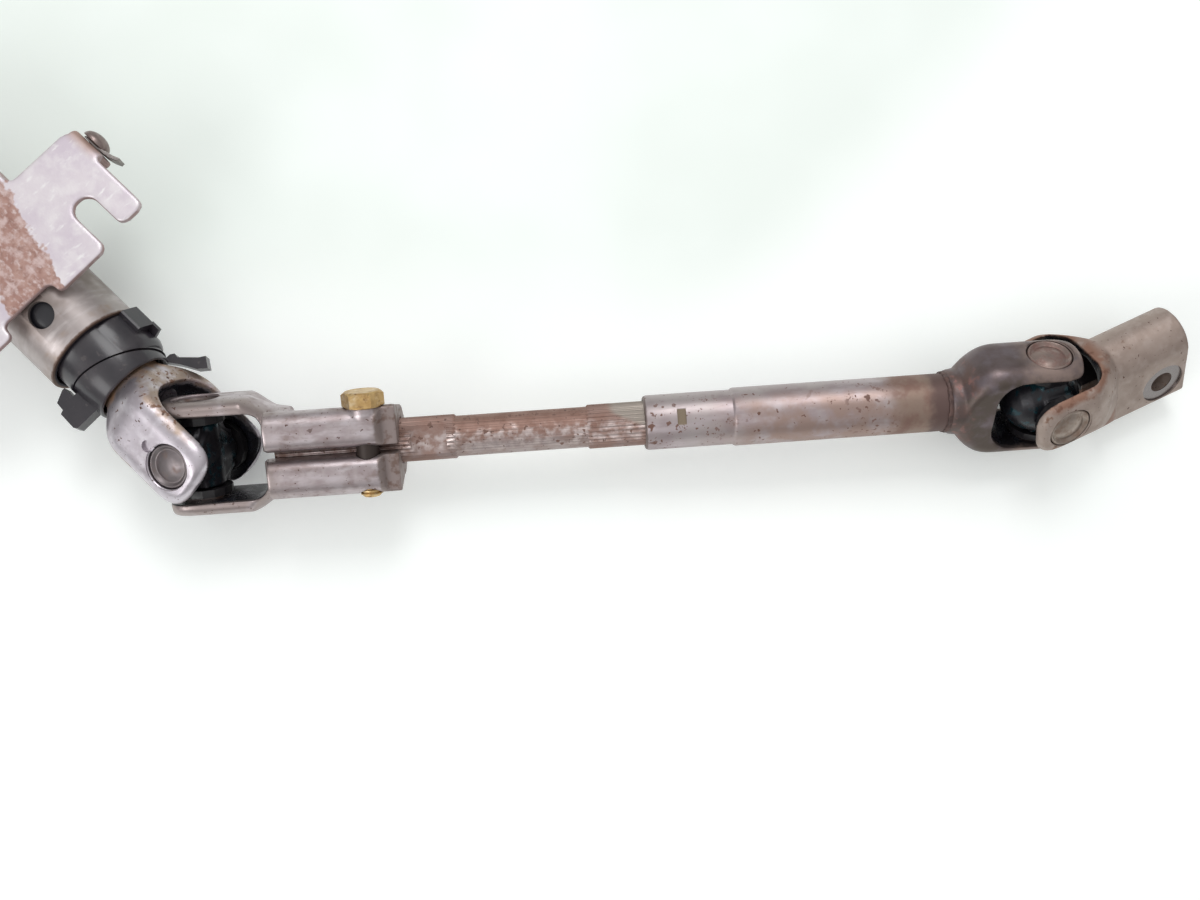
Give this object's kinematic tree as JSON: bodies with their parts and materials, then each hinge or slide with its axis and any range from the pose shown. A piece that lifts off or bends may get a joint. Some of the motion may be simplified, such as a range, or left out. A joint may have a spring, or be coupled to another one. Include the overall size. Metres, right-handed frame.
{
  "type": "steering column",
  "caption": "Jointed steering column: bracketed jacket tube with a shaft in ball bearings, universal joints at both ends of a splined telescoping shaft, and a pinion clamp.",
  "frame": {"origin": "on the top face of the lower bracket, above the column axis, on the line of its two slots", "axes": "+X along the column from the wheel end to the upper joint, +Z out of the bracket's face"},
  "size_m": [0.7056, 0.3428, 0.0479],
  "materials": {
    "tube_steel": "satin, drawn tube",
    "plated_steel": "plated sheet, worn",
    "bright_steel": "machined, bright",
    "dull_steel": "dull forging",
    "blackened_steel": "heat-blackened forging",
    "rusty_steel": "light rust",
    "yellow_zinc": "yellow zinc plating",
    "black_plastic": "moulded, glossy",
    "black_rubber": "matte, greasy",
    "cast_alloy": "as cast"
  },
  "bodies": {
    "jacket": {"column_tube": "tube_steel", "lower_bracket": "plated_steel", "bracket_rivet": "rusty_steel", "bracket_clip": "dull_steel", "upper_bracket": "plated_steel", "capsule_left": "cast_alloy", "capsule_right": "cast_alloy", "bearing_retainer": "black_plastic", "dust_collar": "black_plastic", "bearing_circlip": "dull_steel", "lower_bearing_outer_race": "bright_steel", "upper_bearing_outer_race": "bright_steel", "lower_bearing_balls": "bright_steel", "upper_bearing_balls": "bright_steel"},
    "steering_shaft": {"steering_shaft": "dull_steel", "wheel_nut": "yellow_zinc", "shaft_yoke": "bright_steel", "shaft_yoke_cup_a": "rusty_steel", "shaft_yoke_cup_b": "rusty_steel", "shaft_yoke_needles_a": "bright_steel", "shaft_yoke_needles_b": "bright_steel", "lower_bearing_inner_race": "bright_steel", "upper_bearing_inner_race": "bright_steel"},
    "upper_cross": {"upper_cross": "blackened_steel", "upper_seal_1": "black_rubber", "upper_seal_2": "black_rubber", "upper_seal_3": "black_rubber", "upper_seal_4": "black_rubber"},
    "intermediate": {"clamp_yoke": "bright_steel", "pinch_bolt": "yellow_zinc", "intermediate_shaft": "rusty_steel", "clamp_yoke_cup_a": "rusty_steel", "clamp_yoke_cup_b": "rusty_steel", "clamp_yoke_needles_a": "bright_steel", "clamp_yoke_needles_b": "bright_steel"},
    "sleeve": {"slip_sleeve": "tube_steel", "sleeve_yoke": "blackened_steel", "sleeve_yoke_cup_a": "rusty_steel", "sleeve_yoke_cup_b": "rusty_steel", "sleeve_yoke_needles_a": "bright_steel", "sleeve_yoke_needles_b": "bright_steel"},
    "lower_cross": {"lower_cross": "blackened_steel", "lower_seal_1": "black_rubber", "lower_seal_2": "black_rubber", "lower_seal_3": "black_rubber", "lower_seal_4": "black_rubber"},
    "pinion_clamp": {"pinion_yoke": "dull_steel", "pinion_yoke_cup_a": "rusty_steel", "pinion_yoke_cup_b": "rusty_steel", "pinion_yoke_needles_a": "bright_steel", "pinion_yoke_needles_b": "bright_steel"}
  },
  "joints": [
    {"name": "shaft_spin", "type": "hinge", "parent": "jacket", "child": "steering_shaft", "pos_m": [0.085, 0, -0.0221], "axis": [1, 0, 0], "continuous": true},
    {"name": "upper_joint_first_pins", "type": "hinge", "parent": "steering_shaft", "child": "upper_cross", "pos_m": [0.085, 0, -0.0221], "axis": [0, 0.5001, -0.866], "range_deg": [0, 87.16]},
    {"name": "upper_joint_second_pins", "type": "hinge", "parent": "upper_cross", "child": "intermediate", "pos_m": [0.085, 0, -0.0221], "axis": [-0.6894, 0.6273, 0.3623], "range_deg": [-43.41, 0]},
    {"name": "sleeve_slide", "type": "slide", "parent": "intermediate", "child": "sleeve", "axis": [0.673, 0.7396, 0], "range_m": [-0.033, 0.03]},
    {"name": "lower_joint_first_pins", "type": "hinge", "parent": "sleeve", "child": "lower_cross", "pos_m": [0.28986, 0.22514, -0.0221], "axis": [-0.4537, 0.4129, 0.7897], "range_deg": [-44.6, 11.38]},
    {"name": "lower_joint_second_pins", "type": "hinge", "parent": "lower_cross", "child": "pinion_clamp", "pos_m": [0.28986, 0.22514, -0.0221], "axis": [0.7522, -0.2978, 0.5878], "range_deg": [-40.5, 15.4]}
  ]
}
